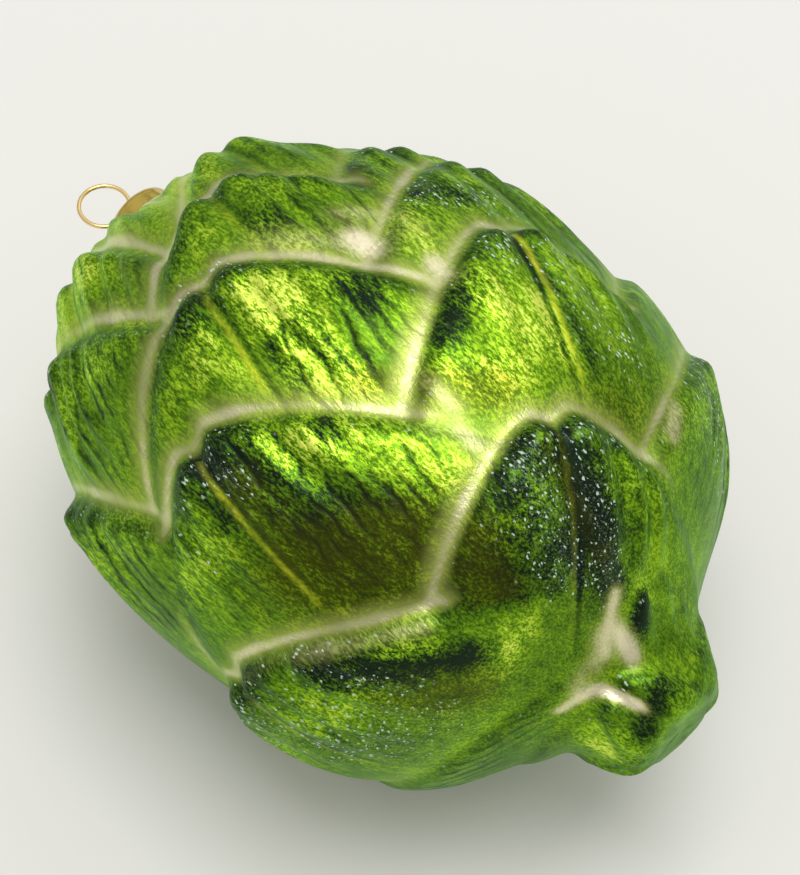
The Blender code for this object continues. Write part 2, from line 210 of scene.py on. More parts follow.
# a bract's number, the side of its midrib on which the painted shade line runs, and the strengths of the
# yellow-green painted highlight line and of the painted shade line
MIDRIBS = {1: (1, 0.0, 0.0), 2: (1, 0.0, 0.0), 7: (1, 0.3, 1.0), 12: (1, 1.0, 0.9), 13: (-1, 1.1, 1.0),
           18: (1, 0.8, 0.5)}
PLAIN_MIDRIB = (1, 0.35, 0.45)
STEM_BRACTS = 5
# bracts on whose faces the folds' painted shade and bumps are faint
SMOOTH_BRACTS = (6, 7, 13)

# how much each effect adds to the lacquer's tone, from 0 for thick and dark to 1 for thin and bright; the
# patch and the bright strokes add painted highlights, and the tone rises towards the crown
COMMON_TONE = 0.47
PATCH_HIGHLIGHT_TONE = 0.1
HIGHLIGHT_TONE = 0.34
DARK_TONE = -0.62
TIP_TONE = -0.28
RIM_TONE = -0.2
VALLEY_TONE = 0.16
CROWN_TONE = 0.24
TIP_LENGTH = 6.0 * MM
TIP_WIDTH = 9.0 * MM
PATCH_DOWN = 11.0 * MM
PATCH_LENGTH = 5.0 * MM
RIM_INSIDE = 1.3 * MM
RIM_WIDTH = 1.1 * MM

# the bare silver lines: the azimuth at which they are clearest, a painted highlight on the side that faces
# the overhead light and the camera, and where they lie beside a bract's edge
LIT_AZIMUTH = math.radians(12.0)
LIT_SPREAD = math.radians(70.0)
LEAST_SILVER = 0.55
VALLEY_SILVER = 0.56
LINE_OUTSIDE = 0.6 * MM
VALLEY_WIDTH = 3.5 * MM
FAR_AWAY = 6.0 * MM

CAP_AROUND = 224
CORNER_POINTS = 9
SKIRT_POINTS = 10
LOOP_POINTS = 60

# the stage: a lamp's name, its place from the glass's middle in metres, and its width and depth
LAMPS = (("window", (-0.25, 0.75, 0.70), 0.80, 0.50), ("overhead", (0.14, 0.02, 1.40), 0.80, 0.80))
MIDDLE_HEIGHT = 52.0 * MM
AIM_UP = 4.75 * MM
AIM_LEFT = 1.1 * MM
FLOOR_REACH = 3.0


class GlassSizes(PropertyGroup):
    """Sizes of the blown glass and of the relief in it."""
    around: IntProperty(name="Around", description="Points around the glass", default=400)
    outer_rows: IntProperty(name="Outer rows", description="Rows of points along the outside",
                            default=202)
    neck_rows: IntProperty(name="Neck rows", description="Rows of points inside the neck", default=8)
    inner_rows: IntProperty(name="Inner rows", description="Rows of points inside the body", default=22)
    wall: FloatProperty(name="Wall", description="Thinnest glass", default=0.8 * MM, unit="LENGTH")
    crease_width: FloatProperty(name="Crease width", description="Half width of a midrib crease",
                                default=1.3 * MM, unit="LENGTH")
    rib: FloatProperty(name="Rib height", description="Height of the soft folds", default=0.62 * MM,
                       unit="LENGTH")
    rib_pitch: FloatProperty(name="Rib spacing", description="Distance between the soft folds",
                             default=3.8 * MM, unit="LENGTH")


class FinishColours(PropertyGroup):
    """Colours of the lacquer, the frost and the metal."""
    # the yellow-green at the ramp's top is the colour of the painted highlights
    highlight_yellow: FloatVectorProperty(name="Thinnest lacquer", description="Yellow-green of the thinnest lacquer",
                              subtype="COLOR", default=(0.84, 0.98, 0.15))
    bright: FloatVectorProperty(name="Bright lacquer", description="Thin bright green lacquer",
                                subtype="COLOR", default=(0.38, 0.64, 0.02))
    green: FloatVectorProperty(name="Green lacquer", description="The lacquer's common green",
                               subtype="COLOR", default=(0.14, 0.31, 0.010))
    deep: FloatVectorProperty(name="Deep lacquer", description="Thick green lacquer",
                              subtype="COLOR", default=(0.045, 0.11, 0.006))
    olive: FloatVectorProperty(name="Olive shading", description="Brown-green airbrushed shading",
                               subtype="COLOR", default=(0.062, 0.068, 0.002))
    dark: FloatVectorProperty(name="Dark shading", description="Near-black green shading at tips",
                              subtype="COLOR", default=(0.010, 0.022, 0.010))
    thin: FloatVectorProperty(name="Lacquer's edge", description="Olive-yellow where the lacquer runs out",
                              subtype="COLOR", default=(0.46, 0.50, 0.12))
    silver: FloatVectorProperty(name="Bare silvering", description="Warm silver left in the valleys",
                                subtype="COLOR", default=(0.92, 0.84, 0.58))
    # the yellow-green of the painted highlight along each midrib
    midrib: FloatVectorProperty(name="Midrib", description="Yellow-green of the midrib line",
                                subtype="COLOR", default=(0.55, 0.60, 0.03))
    frost: FloatVectorProperty(name="Frost", description="Pale frosted grains",
                               subtype="COLOR", default=(0.60, 0.74, 0.62))
    cap: FloatVectorProperty(name="Cap", description="Gold of the stamped cap", subtype="COLOR",
                             default=(0.62, 0.46, 0.10))
    wire: FloatVectorProperty(name="Wire", description="Pale gold of the wire", subtype="COLOR",
                              default=(0.88, 0.66, 0.30))
    floor: FloatVectorProperty(name="Floor", description="Off-white of the floor", subtype="COLOR",
                               default=(0.80, 0.79, 0.755))


class StageSizes(PropertyGroup):
    """Camera and light of the stage."""
    azimuth: FloatProperty(name="Camera azimuth", description="Turn of the camera round the ornament",
                           default=math.radians(47.0), subtype="ANGLE")
    elevation: FloatProperty(name="Camera elevation", description="Height angle of the camera",
                             default=math.radians(56.0), subtype="ANGLE")
    distance: FloatProperty(name="Camera distance", description="From the camera to its target",
                            default=0.32, unit="LENGTH")
    lens: FloatProperty(name="Lens", description="Focal length on a 36 mm sensor", default=95.7)
    world_light: FloatProperty(name="Room light", description="Strength of the even light", default=0.72)
    key_power: FloatProperty(name="Window light", description="Power of the soft light behind",
                             default=0.7)
    top_power: FloatProperty(name="Top light", description="Power of the light overhead", default=9.2)


def smooth_line(points, steps):
    """A curve through the points, sampled evenly along its length."""
    knots = np.array(points) * MM
    slopes = np.gradient(knots, axis=0)
    curve = []
    for start, end, leave, arrive in zip(knots[:-1], knots[1:], slopes[:-1], slopes[1:]):
        for t in np.linspace(0.0, 1.0, steps, endpoint=False):
            curve.append(start * (1 + 2 * t) * (1 - t) ** 2 + end * t * t * (3 - 2 * t)
                         + leave * t * (1 - t) ** 2 + arrive * t * t * (t - 1))
    curve.append(knots[-1])
    curve = np.array(curve)
    length = np.concatenate([[0.0], np.cumsum(np.linalg.norm(np.diff(curve, axis=0), axis=1))])
    return curve[:, 0], curve[:, 1], length


BODY_Z, BODY_R, BODY_S = smooth_line(BODY_LINE, LINE_STEPS)


def smooth_step(value, low, high):
    t = np.clip((value - low) / (high - low), 0.0, 1.0)
    return t * t * (3.0 - 2.0 * t)


def along_body(station, low, high):
    """Rises from 0 to 1 between two heights in mm."""
    return smooth_step(station, *np.interp((low * MM, high * MM), BODY_Z, BODY_S))


def bell(value, width):
    return np.exp(-(value / width) ** 2)


def wrapped(angle):
    return (angle + math.pi) % (2 * math.pi) - math.pi


def rounded_rim(inside, reach):
    return 1.0 - (1.0 - np.clip(inside / reach, 0.0, 1.0)) ** EDGE_ROUNDNESS


def soft_folds(across, down, number, sizes):
    """Low folds beside a bract's midrib, mostly on one side, that run down with it."""
    fan = across / (1.0 + 8.0 * down) + 0.5 * MM * np.sin(down / (4.0 * MM) + number)
    turns = fan / sizes.rib_pitch + 0.25 * np.sin(fan / (2.3 * MM) + 2.0 * number)
    beside = smooth_step(across, 1.5 * MM, 4.0 * MM) * (1.0 - smooth_step(across, 12.0 * MM, 17.0 * MM))
    other = smooth_step(-across, 2.0 * MM, 5.0 * MM) * (1.0 - smooth_step(-across, 9.0 * MM, 13.0 * MM))
    below = smooth_step(down, 1.0 * MM, 5.0 * MM) * (1.0 - smooth_step(down, 13.0 * MM, 26.0 * MM))
    return sizes.rib * np.cos(turns * 2 * math.pi) * (beside + 0.5 * other) * below


def lay_bracts(turn, station, radius, sizes):
    """The skin's height over the turned line and, for the paint, the place on the bract that shows."""
    height = np.zeros_like(turn)
    shown = {"across": np.zeros_like(turn), "down": np.full_like(turn, 30.0 * MM),
             "inside": np.zeros_like(turn), "number": np.zeros_like(turn), "size": np.ones_like(turn)}
    plates = []
    number = 0
    for length, bracts in RINGS:
        for azimuth, tip, rise, half_width, lean in bracts:
            number += 1
            around = wrapped(turn - math.radians(azimuth)) * radius
            along = np.interp(tip * MM, BODY_Z, BODY_S) - station
            tilt = math.radians(lean)
            across = around * math.cos(tilt) + along * math.sin(tilt)
            down = along * math.cos(tilt) - around * math.sin(tilt)
            spread = np.abs(across) / (half_width * MM)
            edge = WIDTH_TAKEN_AT * spread ** EDGE_POWER + NOTCH_DEPTH * bell(across, NOTCH_WIDTH)
            slope = EDGE_POWER * WIDTH_TAKEN_AT / (half_width * MM) * spread ** (EDGE_POWER - 1.0)
            inside = (down - edge) / np.sqrt(1.0 + slope ** 2)
            rim, pillow = rounded_rim(inside, EDGE_SOFT), rounded_rim(inside, PILLOW_REACH)
            shoulder = (1.0 - PILLOW) * rim + PILLOW * pillow
            plate = rise * MM * np.clip(1.0 - np.maximum(down, 0.0) / (length * MM), 0.0, 1.0)
            beside, below = np.abs(across) - KNUCKLE_ASIDE, down - KNUCKLE_SIZE
            knuckle = KNUCKLE * np.exp(-(beside ** 2 + below ** 2) / KNUCKLE_SIZE ** 2)
            fade = np.clip(1.0 - down / CREASE_LENGTH, 0.0, 1.0)
            crease = CREASE_DEPTH * fade * bell(across, sizes.crease_width)
            size = min(1.0, half_width / 16.0)
            folds = size * soft_folds(across, down, number, sizes)
            one = np.maximum(plate * (1.0 + knuckle) - crease + folds, 0.0) * shoulder
            plates.append((inside, plate))
            shows = one > height
            height = np.where(shows, one, height)
            for label, value in zip(shown, (across, down, inside, number, size)):
                shown[label] = np.where(shows, value, shown[label])
    away, wide = np.full_like(turn, FAR_AWAY), np.zeros_like(turn)
    for inside, plate in plates:
        stands = smooth_step(plate - height, 0.2 * MM, 1.0 * MM)
        outside = np.maximum(-inside, 0.0)
        from_line = inside + LINE_OUTSIDE
        aside = np.where(from_line > 0.0, 1.8 * from_line, -0.9 * from_line)
        away = np.minimum(away, aside + FAR_AWAY * (1.0 - stands))
        wide = np.maximum(wide, stands * np.exp(-outside / VALLEY_WIDTH) * (inside < 0.0))
    return {"height": height, "away": away, "wide": wide, **shown}


def softened(values, passes):
    """The values spread a little over their neighbours, which rounds steps and saw teeth."""
    for _ in range(passes):
        values = (np.roll(values, 1, axis=1) + 2.0 * values + np.roll(values, -1, axis=1)) / 4.0
        padded = np.concatenate([values[:1], values, values[-1:]])
        values = (padded[:-2] + 2.0 * values + padded[2:]) / 4.0
    return values


def stroked(strokes, turn, station, radius, number=None):
    """Strength of soft airbrush strokes, each kept to its first bract if bract numbers are given."""
    total = np.zeros_like(turn)
    for from_azimuth, from_height, to_azimuth, to_height, half_width, strength in strokes:
        start, end = np.interp(np.array([from_height, to_height]) * MM, BODY_Z, BODY_S)
        around = wrapped(turn - math.radians(from_azimuth)) * radius
        run_around = math.radians(to_azimuth - from_azimuth) * radius
        along, run_along = station - start, end - start
        share = (around * run_around + along * run_along) / (run_around ** 2 + run_along ** 2 + MM ** 3)
        share = np.clip(share, 0.0, 1.0)
        gap = np.hypot(around - share * run_around, along - share * run_along)
        here = strength * bell(gap, half_width * MM)
        if number is not None:
            from_start = np.hypot(around, along)
            home = number[np.unravel_index(from_start.argmin(), from_start.shape)]
            here *= number == home
        total = np.maximum(total, here)
    return total


def midrib_bands(skin):
    """For each bract the side of its painted shade line, and bands about its midrib for both painted
    lines.
    """
    side = np.ones_like(skin["down"])
    bright, dark = np.zeros_like(side), np.zeros_like(side)
    down = skin["down"]
    along = smooth_step(down, 1.0 * MM, 3.0 * MM) * (1.0 - smooth_step(down, 19.0 * MM, 31.0 * MM))
    band = along * np.exp(-(skin["across"] / (2.2 * MM)) ** 4)
    for number in np.unique(skin["number"]):
        shaded_side, highlight_strength, shade_strength = MIDRIBS.get(int(number), PLAIN_MIDRIB)
        here = skin["number"] == number
        side[here] = shaded_side
        bright += highlight_strength * band * here
        dark += shade_strength * band * here
    return side, bright, dark


def paint_masks(skin, turn, station, radius):
    """Tone of the lacquer from thick and dark to thin and bright, with painted highlights, and where the
    other coats lie.
    """
    down, across, size, number = skin["down"], skin["across"], skin["size"], skin["number"]
    place = (turn, station, radius, number)
    tip = bell(np.maximum(down, 0.0), TIP_LENGTH * size) * bell(across, TIP_WIDTH * size)
    rim = bell(skin["inside"] - RIM_INSIDE, RIM_WIDTH) * (number > 0)
    base = smooth_step(down, 14.0 * MM, 26.0 * MM)
    beside = smooth_step(np.abs(across), 1.0 * MM, 4.0 * MM)
    # a painted highlight across the middle of each bract
    patch = bell(down - PATCH_DOWN * size, PATCH_LENGTH) * beside
    # painted highlights from the bright strokes; the dark strokes are airbrushed paint
    bright, dark = stroked(HIGHLIGHT_STROKES, *place), stroked(DARK_STROKES, *place)
    shaded = np.clip(stroked(OLIVE_STROKES, *place), 0.0, 1.0)
    olive = np.clip(0.3 * base + shaded, 0.0, 1.0)
    # the midribs' painted highlight lines and painted shade lines
    side, midrib_highlight, midrib_shade = midrib_bands(skin)
    tone = COMMON_TONE + PATCH_HIGHLIGHT_TONE * patch + HIGHLIGHT_TONE * bright + DARK_TONE * dark + TIP_TONE * tip
    tone += RIM_TONE * rim + VALLEY_TONE * skin["wide"] + CROWN_TONE * along_body(station, 86.0, 97.0)
    # the silver lines are painted brighter, as a highlight, on the side facing the overhead light and
    # camera
    lines = LEAST_SILVER + (1.0 - LEAST_SILVER) * bell(wrapped(turn - LIT_AZIMUTH), LIT_SPREAD)
    lines *= 1.0 - 0.25 * along_body(station, 66.0, 84.0)
    lines *= along_body(station, 19.0, 27.0)
    valleys = VALLEY_SILVER * lines * skin["wide"] * (1.0 - 0.8 * shaded)
    # bare silver, with the stem chevron's painted highlight among the silver strokes
    silver = np.maximum(valleys, stroked(SILVER_AND_HIGHLIGHT_STROKES, turn, station, radius))
    grain = 0.29 + 0.5 * bright + 0.5 * dark + 0.4 * tip + 0.3 * patch + 0.35 * olive
    deep_in = smooth_step(skin["inside"], 1.0 * MM, 3.0 * MM)
    deep_in *= 1.0 - smooth_step(down, 22.0 * MM, 36.0 * MM)
    # where the shader paints shade into the creases between the soft folds, and bumps them
    folds = deep_in * smooth_step(across, 1.0 * MM, 4.0 * MM) * (number > STEM_BRACTS)
    folds += 0.35 * deep_in * smooth_step(-across, 2.0 * MM, 5.0 * MM) * (number > STEM_BRACTS)
    folds *= (1.0 - 0.85 * skin["wide"]) * np.where(np.isin(number, SMOOTH_BRACTS), 0.3, 1.0)
    masks = {
        "tone": tone,
        "olive": olive,
        "silver": silver,
        "lines": lines,
        "frost": np.clip(0.55 * tip + 0.3 * rim + stroked(FROST_STROKES, *place) + 0.08, 0.0, 1.0),
        "grain": np.clip(grain, 0.0, 1.0),
        "midrib_highlight": midrib_highlight,
        "midrib_shade": midrib_shade,
        "folds": folds,
    }
    masks = {label: softened(values, 3 if label == "silver" else 2) for label, values in masks.items()}
    masks["across"] = side * across / MM
    masks["away"] = softened(skin["away"], 1) / MM
    return masks


def raised(station, azimuth, height):
    """Points at a height above the turned line, in the ornament's own axes."""
    z = np.interp(station, BODY_S, BODY_Z)
    r = np.interp(station, BODY_S, BODY_R)
    ahead = np.minimum(station + SLOPE_STEP, BODY_S[-1])
    behind = np.maximum(station - SLOPE_STEP, 0.0)
    run_z = np.interp(ahead, BODY_S, BODY_Z) - np.interp(behind, BODY_S, BODY_Z)
    run_r = np.interp(ahead, BODY_S, BODY_R) - np.interp(behind, BODY_S, BODY_R)
    scale = np.hypot(run_z, run_r)
    z = z - height * run_r / scale
    r = np.maximum(r + height * run_z / scale, 0.0)
    return np.stack([r * np.cos(azimuth), r * np.sin(azimuth), z], axis=-1)


def lowest_nearby(height, rows, columns):
    """The least height within a few rows and columns of each place."""
    low = height.copy()
    for row in range(-rows, rows + 1, 2):
        moved = height[np.clip(np.arange(len(height)) + row, 0, len(height) - 1)]
        for column in range(-columns, columns + 1, 2):
            low = np.minimum(low, np.roll(moved, column, axis=1))
    return low


def cap_bend(thickness):
    """The cap's rounded corner, a thickness in from its outside."""
    reach = CAP_BEND - thickness
    return [(CAP_RADIUS - CAP_BEND + reach * math.sin(a), -CAP_BEND + reach * math.cos(a))
            for a in np.linspace(0.0, math.pi / 2, CORNER_POINTS)]


def cap_side(thickness):
    """One side of the cap's section, from its middle over the corner and down the flared skirt."""
    top = [(share * CAP_RADIUS, -thickness) for share in (0.0, 0.25, 0.5, 0.7)]
    bend = cap_bend(thickness)
    skirt = [(bend[-1][0] + CAP_FLARE * t, bend[-1][1] - (CAP_SKIRT - CAP_BEND) * t)
             for t in np.linspace(0.0, 1.0, SKIRT_POINTS)[1:]]
    return top + bend + skirt


def cap_rows():
    """Points of the cap, row by row, in the ornament's own axes."""
    azimuth = np.arange(CAP_AROUND) * 2 * math.pi / CAP_AROUND
    rows = []
    for radius, drop in cap_side(0.0) + cap_side(CAP_WALL)[::-1]:
        depth = FLUTE_DEPTH * max(0.0, -drop - CAP_WALL) / CAP_SKIRT
        reach = radius + depth * np.cos(azimuth * CAP_FLUTES)
        rows.append(np.stack([reach * np.cos(azimuth), reach * np.sin(azimuth),
                              np.full_like(azimuth, CAP_TOP + drop)], axis=-1))
    return np.array(rows)


def ornament_place():
    """The ornament's own axes in the frame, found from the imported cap."""
    turn = Matrix.Rotation(STEM_DROP - math.pi / 2, 4, "Y") @ Matrix.Rotation(ROLL, 4, "Z")
    low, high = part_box("cap")
    spots = cap_rows().reshape(-1, 3) @ np.array(turn.to_3x3()).T
    middle = Vector((spots.min(axis=0) + spots.max(axis=0)) / 2)
    return Matrix.Translation((low + high) / 2 - middle) @ turn


PLACE = ornament_place()


def turned_mesh(rows, name, masks=None):
    """One closed skin from a ball whose two poles are the first and last rows, in the frame."""
    last, around = len(rows) - 1, rows.shape[1]
    mesh = bpy.data.meshes.new(name)
    ball = bmesh.new()
    bmesh.ops.create_uvsphere(ball, u_segments=around, v_segments=last, radius=1.0)
    bmesh.ops.recalc_face_normals(ball, faces=ball.faces)
    ball.to_mesh(mesh)
    ball.free()
    spots = np.zeros(len(mesh.vertices) * 3)
    mesh.vertices.foreach_get("co", spots)
    spots = spots.reshape(-1, 3)
    row = np.rint(np.arccos(np.clip(-spots[:, 2], -1.0, 1.0)) / math.pi * last).astype(int)
    column = np.rint(np.arctan2(spots[:, 1], spots[:, 0]) / (2 * math.pi) * around).astype(int) % around
    rows = rows.copy()
    rows[0] = rows[0].mean(axis=0)
    rows[last] = rows[last].mean(axis=0)
    mesh.vertices.foreach_set("co", rows[row, column].astype(np.float32).ravel())
    for label, values in (masks or {}).items():
        layer = mesh.attributes.new(label, "FLOAT", "POINT")
        layer.data.foreach_set("value", values[row, column].astype(np.float32))
    mesh.update()
    mesh.shade_smooth()
    return mesh


def in_frame(points):
    turn = np.array(PLACE.to_3x3())
    return points @ turn.T + np.array(PLACE.translation)


def place_piece(mesh, name, node, material):
    """A finished piece at the frame's origin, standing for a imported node."""
    piece = bpy.data.objects.new(name, mesh)
    bpy.context.scene.collection.objects.link(piece)
    piece.data.materials.clear()
    piece.data.materials.append(material)
    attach(piece, BODY)
    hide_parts(node)
    return piece


# scales of the paint's patterns, in cells to the metre, and how far each one swings the tone
BROAD_SCALE = 90.0
MIDDLE_SCALE = 520.0
FINE_SCALE = 2800.0
WANDER_SCALE = 110.0
BREAK_SCALE = 150.0
UNEVEN_SCALE = 55.0
CRINKLE_SCALE = 900.0
BROAD_SWING = 0.55
MIDDLE_SWING = 0.42
FINE_SWING = 0.57
# the grain and the dashes are drawn out along the ornament
GRAIN_STRETCH = (0.4, 1.0, 1.0)
DASH_STRETCH = (0.45, 1.0, 0.8)
FLECK = 0.24 * MM
FOLD_PITCH = 2.3
RAMP_STOPS = (0.0, 0.26, 0.52, 0.76, 1.0)


def put(tree, kind, values=(), **settings):
    """A node with its settings, its inputs given as values or as other nodes' outputs."""
    made = tree.nodes.new(kind)
    for key, value in settings.items():
        setattr(made, key, value)
    for key, value in dict(values).items():
        if isinstance(value, bpy.types.NodeSocket):
            tree.links.new(value, made.inputs[key])
        else:
            made.inputs[key].default_value = value
    return made


def maths(tree, operation, first, second=0.0, clamp=False):
    made = put(tree, "ShaderNodeMath", {0: first, 1: second}, operation=operation, use_clamp=clamp)
    return made.outputs[0]


def times(tree, first, second):
    return maths(tree, "MULTIPLY", first, second)


def plus(tree, first, second):
    return maths(tree, "ADD", first, second)


def minus(tree, first, second):
    return maths(tree, "SUBTRACT", first, second)


def remap(tree, value, low, high, to_low=0.0, to_high=1.0):
    values = {"Value": value, "From Min": low, "From Max": high, "To Min": to_low, "To Max": to_high}
    return put(tree, "ShaderNodeMapRange", values, interpolation_type="SMOOTHSTEP").outputs["Result"]


def tint(colour):
    return (*colour, 1.0)


def mixed(tree, factor, first, second, mode="MIX"):
    """Two colours mixed by a factor."""
    made = put(tree, "ShaderNodeMix", {0: factor, 6: first, 7: second}, data_type="RGBA", blend_type=mode)
    return made.outputs[2]


def noise(tree, where, scale, detail=3.0, roughness=0.55, distortion=0.0):
    values = {"Vector": where, "Scale": scale, "Detail": detail, "Roughness": roughness,
              "Distortion": distortion}
    return put(tree, "ShaderNodeTexNoise", values).outputs["Fac"]


def mask(tree, name):
    return put(tree, "ShaderNodeAttribute", attribute_name=name).outputs["Fac"]


def new_group(name, numbers):
    """A node group with a Vector input, number inputs with their defaults, and a Mask output."""
    group = bpy.data.node_groups.new(name, "ShaderNodeTree")
    group.interface.new_socket("Vector", in_out="INPUT", socket_type="NodeSocketVector")
    for label, default in numbers.items():
        socket = group.interface.new_socket(label, in_out="INPUT", socket_type="NodeSocketFloat")
        socket.default_value = default
    group.interface.new_socket("Mask", in_out="OUTPUT", socket_type="NodeSocketFloat")
    start = group.nodes.new("NodeGroupInput")
    end = group.nodes.new("NodeGroupOutput")
    return group, start.outputs, end.inputs


def spatter_group():
    """Fine irregular grains: more of them as Amount rises from 0 to 1."""
    group, given, result = new_group("fine_spatter", {"Size": 0.5 * MM, "Amount": 0.5, "Softness": 0.1})
    scale = maths(group, "DIVIDE", 0.8, given["Size"])
    grain = put(group, "ShaderNodeTexNoise", {"Vector": given["Vector"], "Scale": scale, "Detail": 2.5,
                                              "Roughness": 0.6, "Distortion": 0.8}).outputs["Fac"]
    level = minus(group, 0.76, times(group, given["Amount"], 0.215))
    above = minus(group, grain, level)
    group.links.new(maths(group, "DIVIDE", above, given["Softness"], clamp=True), result["Mask"])
    return group


def place_group(tree, group, values):
    return put(tree, "ShaderNodeGroup", values, node_tree=group).outputs["Mask"]


def new_material(name):
    material = bpy.data.materials.new(name)
    material.use_nodes = True
    tree = material.node_tree
    shader = tree.nodes["Principled BSDF"]
    where = put(tree, "ShaderNodeTexCoord").outputs["Object"]
    return material, tree, shader, where


def join(tree, value, socket):
    tree.links.new(value, socket)


def shifted(tree, value, pattern, amount):
    """A value with a pattern's swing about its middle added."""
    swing = times(tree, minus(tree, pattern, 0.5), amount)
    return plus(tree, value, swing)


def lacquer_ramp(tree, tone, colours):
    """The lacquer's colour from thick and dark to thin and bright, whose top end is the painted
    highlights' yellow-green.
    """
    ramp = put(tree, "ShaderNodeValToRGB", {"Fac": tone})
    stops = (colours.dark, colours.deep, colours.green, colours.bright, colours.highlight_yellow)
    elements = ramp.color_ramp.elements
    while len(elements) < len(stops):
        elements.new(0.5)
    for element, (place, colour) in zip(elements, zip(RAMP_STOPS, stops)):
        element.position = place
        element.color = tint(colour)
    return ramp.outputs["Color"]


def ridge(tree, value, middle, half_width):
    """1 where the value is at a middle, falling to 0 at a half width on both sides."""
    away = maths(tree, "ABSOLUTE", minus(tree, value, middle))
    return remap(tree, away, 0.0, half_width, 1.0, 0.0)


def fold_shade_lines(tree, across, where):
    """Thin lines of painted shade between the soft folds, which run down beside the midrib."""
    wander = noise(tree, where, WANDER_SCALE, 2.0)
    turns = shifted(tree, maths(tree, "DIVIDE", across, FOLD_PITCH), wander, 2.2)
    wave = maths(tree, "ABSOLUTE", maths(tree, "SINE", times(tree, turns, math.pi)))
    broken = remap(tree, noise(tree, where, BREAK_SCALE, 2.0), 0.34, 0.6)
    return times(tree, remap(tree, wave, 0.0, 0.8, 1.0, 0.0), broken)


def pale_dashes(tree, where, amount):
    """Separate frosted dashes of uneven size, more of them where the amount is higher."""
    cells = put(tree, "ShaderNodeTexVoronoi", {"Vector": where, "Scale": 0.5 / FLECK, "Randomness": 1.0})
    chance = put(tree, "ShaderNodeSeparateColor", {"Color": cells.outputs["Color"]}).outputs
    size = remap(tree, chance["Green"], 0.0, 1.0, 0.08, 0.36)
    shape = shifted(tree, cells.outputs["Distance"], noise(tree, where, 1.1 / FLECK, 1.0), 0.9)
    dash = maths(tree, "DIVIDE", minus(tree, size, shape), 0.10, clamp=True)
    there = maths(tree, "DIVIDE", minus(tree, amount, chance["Red"]), 0.15, clamp=True)
    return times(tree, dash, there)


